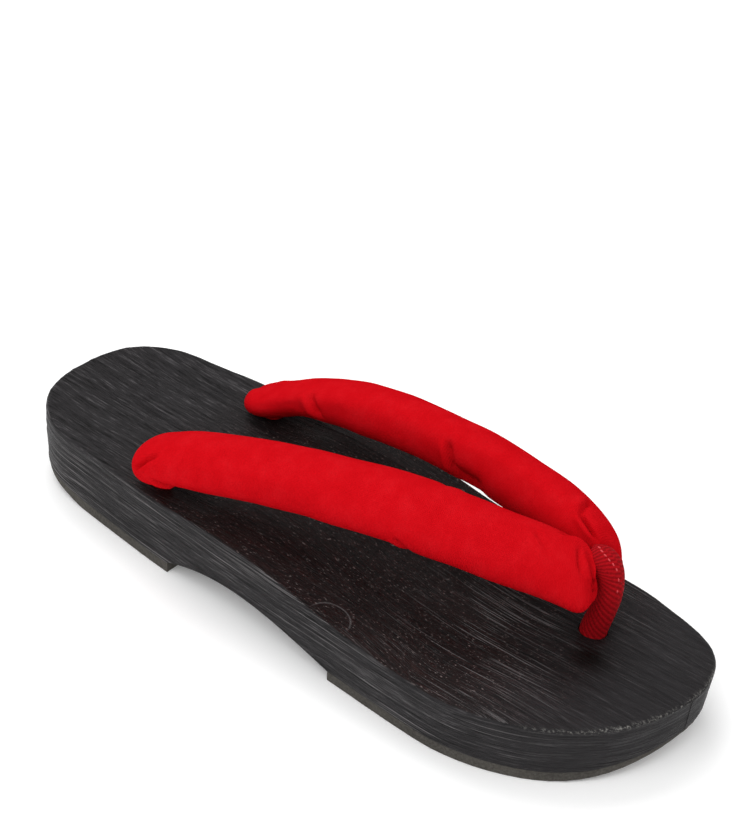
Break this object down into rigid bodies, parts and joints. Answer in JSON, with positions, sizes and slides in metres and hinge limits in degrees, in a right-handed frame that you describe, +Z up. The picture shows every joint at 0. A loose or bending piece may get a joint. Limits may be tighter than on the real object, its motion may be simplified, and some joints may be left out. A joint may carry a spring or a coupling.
{
  "type": "geta sandal",
  "caption": "Low wooden geta for the right foot: carved black board with an arched waist, rubber pads under heel and forefoot, padded red cloth strap and toe thong.",
  "frame": {"origin": "middle of the sandal's outline seen from above, on the plane that the pads stand on", "axes": "+Y towards the toe, +X towards the wearer's right, which is the little-toe side, +Z up"},
  "size_m": [0.091, 0.2448, 0.0626],
  "materials": {
    "black_stained_wood": "black stain over raised grain, satin, glossy in the middle of the footbed",
    "tread_rubber": "matt",
    "red_cotton": "matt plain weave",
    "dark_red_twill": "ribbed twill"
  },
  "bodies": {
    "root": {"wood_base": "black_stained_wood", "heel_pad": "tread_rubber", "forefoot_pad": "tread_rubber", "hanao": "red_cotton", "maetsubo": "dark_red_twill"}
  },
  "joints": []
}
